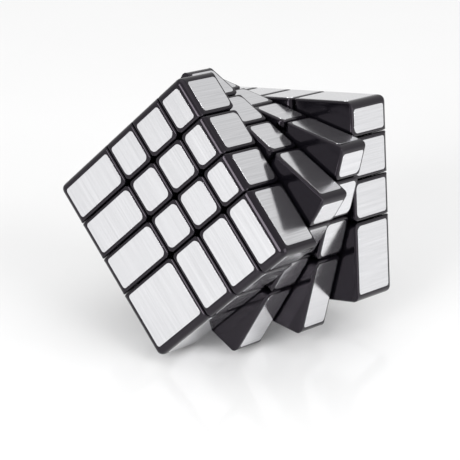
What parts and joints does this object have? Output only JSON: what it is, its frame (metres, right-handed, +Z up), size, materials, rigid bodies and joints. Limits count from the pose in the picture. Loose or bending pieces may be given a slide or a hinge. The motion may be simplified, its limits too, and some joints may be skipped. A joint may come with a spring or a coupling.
{
  "type": "twisty puzzle cube",
  "caption": "Mirror-type twisty puzzle cube of unequal black blocks with silver faces, its layers fanned about one axis and turning on a ball core.",
  "frame": {"origin": "middle of the base of the bounding box, on the surface that the fanned puzzle stands on", "axes": "+Z up; +Y horizontally away from the front layer along the twist axis, which drops 10.8 degrees towards the back; +X to the right seen from the front"},
  "size_m": [0.083, 0.0728, 0.0838],
  "materials": {
    "black_plastic": "glossy moulded black",
    "silver_foil": "brushed mirror foil sticker",
    "core_nylon": "satin moulded",
    "screw_steel": "zinc plated"
  },
  "bodies": {
    "third_layer": {"core_back_half": "core_nylon", "core_front_half": "core_nylon", "core_screw": "screw_steel", "third_r1c1_edge": "black_plastic", "third_r1c2_centre": "black_plastic", "third_r1c3_centre": "black_plastic", "third_r1c4_edge": "black_plastic", "third_r2c1_centre": "black_plastic", "third_r2c4_centre": "black_plastic", "third_r3c1_centre": "black_plastic", "third_r3c4_centre": "black_plastic", "third_r4c1_edge": "black_plastic", "third_r4c2_centre": "black_plastic", "third_r4c3_centre": "black_plastic", "third_r4c4_edge": "black_plastic"},
    "front_layer": {"front_r1c1_corner": "black_plastic", "front_r1c2_edge": "black_plastic", "front_r1c3_edge": "black_plastic", "front_r1c4_corner": "black_plastic", "front_r2c1_edge": "black_plastic", "front_r2c2_centre": "black_plastic", "front_r2c3_centre": "black_plastic", "front_r2c4_edge": "black_plastic", "front_r3c1_edge": "black_plastic", "front_r3c2_centre": "black_plastic", "front_r3c3_centre": "black_plastic", "front_r3c4_edge": "black_plastic", "front_r4c1_corner": "black_plastic", "front_r4c2_edge": "black_plastic", "front_r4c3_edge": "black_plastic", "front_r4c4_corner": "black_plastic"},
    "second_layer": {"second_r1c1_edge": "black_plastic", "second_r1c2_centre": "black_plastic", "second_r1c3_centre": "black_plastic", "second_r1c4_edge": "black_plastic", "second_r2c1_centre": "black_plastic", "second_r2c4_centre": "black_plastic", "second_r3c1_centre": "black_plastic", "second_r3c4_centre": "black_plastic", "second_r4c1_edge": "black_plastic", "second_r4c2_centre": "black_plastic", "second_r4c3_centre": "black_plastic", "second_r4c4_edge": "black_plastic"},
    "back_layer": {"back_r1c1_corner": "black_plastic", "back_r1c2_edge": "black_plastic", "back_r1c3_edge": "black_plastic", "back_r1c4_corner": "black_plastic", "back_r2c1_edge": "black_plastic", "back_r2c2_centre": "black_plastic", "back_r2c3_centre": "black_plastic", "back_r2c4_edge": "black_plastic", "back_r3c1_edge": "black_plastic", "back_r3c2_centre": "black_plastic", "back_r3c3_centre": "black_plastic", "back_r3c4_edge": "black_plastic", "back_r4c1_corner": "black_plastic", "back_r4c2_edge": "black_plastic", "back_r4c3_edge": "black_plastic", "back_r4c4_corner": "black_plastic"}
  },
  "joints": [
    {"name": "front_turn", "type": "hinge", "parent": "third_layer", "child": "front_layer", "pos_m": [0.00138, 0.00057, 0.04551], "axis": [0, 0.9823, -0.1874], "continuous": true},
    {"name": "second_turn", "type": "hinge", "parent": "third_layer", "child": "second_layer", "pos_m": [0.00138, 0.00057, 0.04551], "axis": [0, 0.9823, -0.1874], "continuous": true},
    {"name": "back_turn", "type": "hinge", "parent": "third_layer", "child": "back_layer", "pos_m": [0.00138, 0.00057, 0.04551], "axis": [0, 0.9823, -0.1874], "continuous": true}
  ]
}
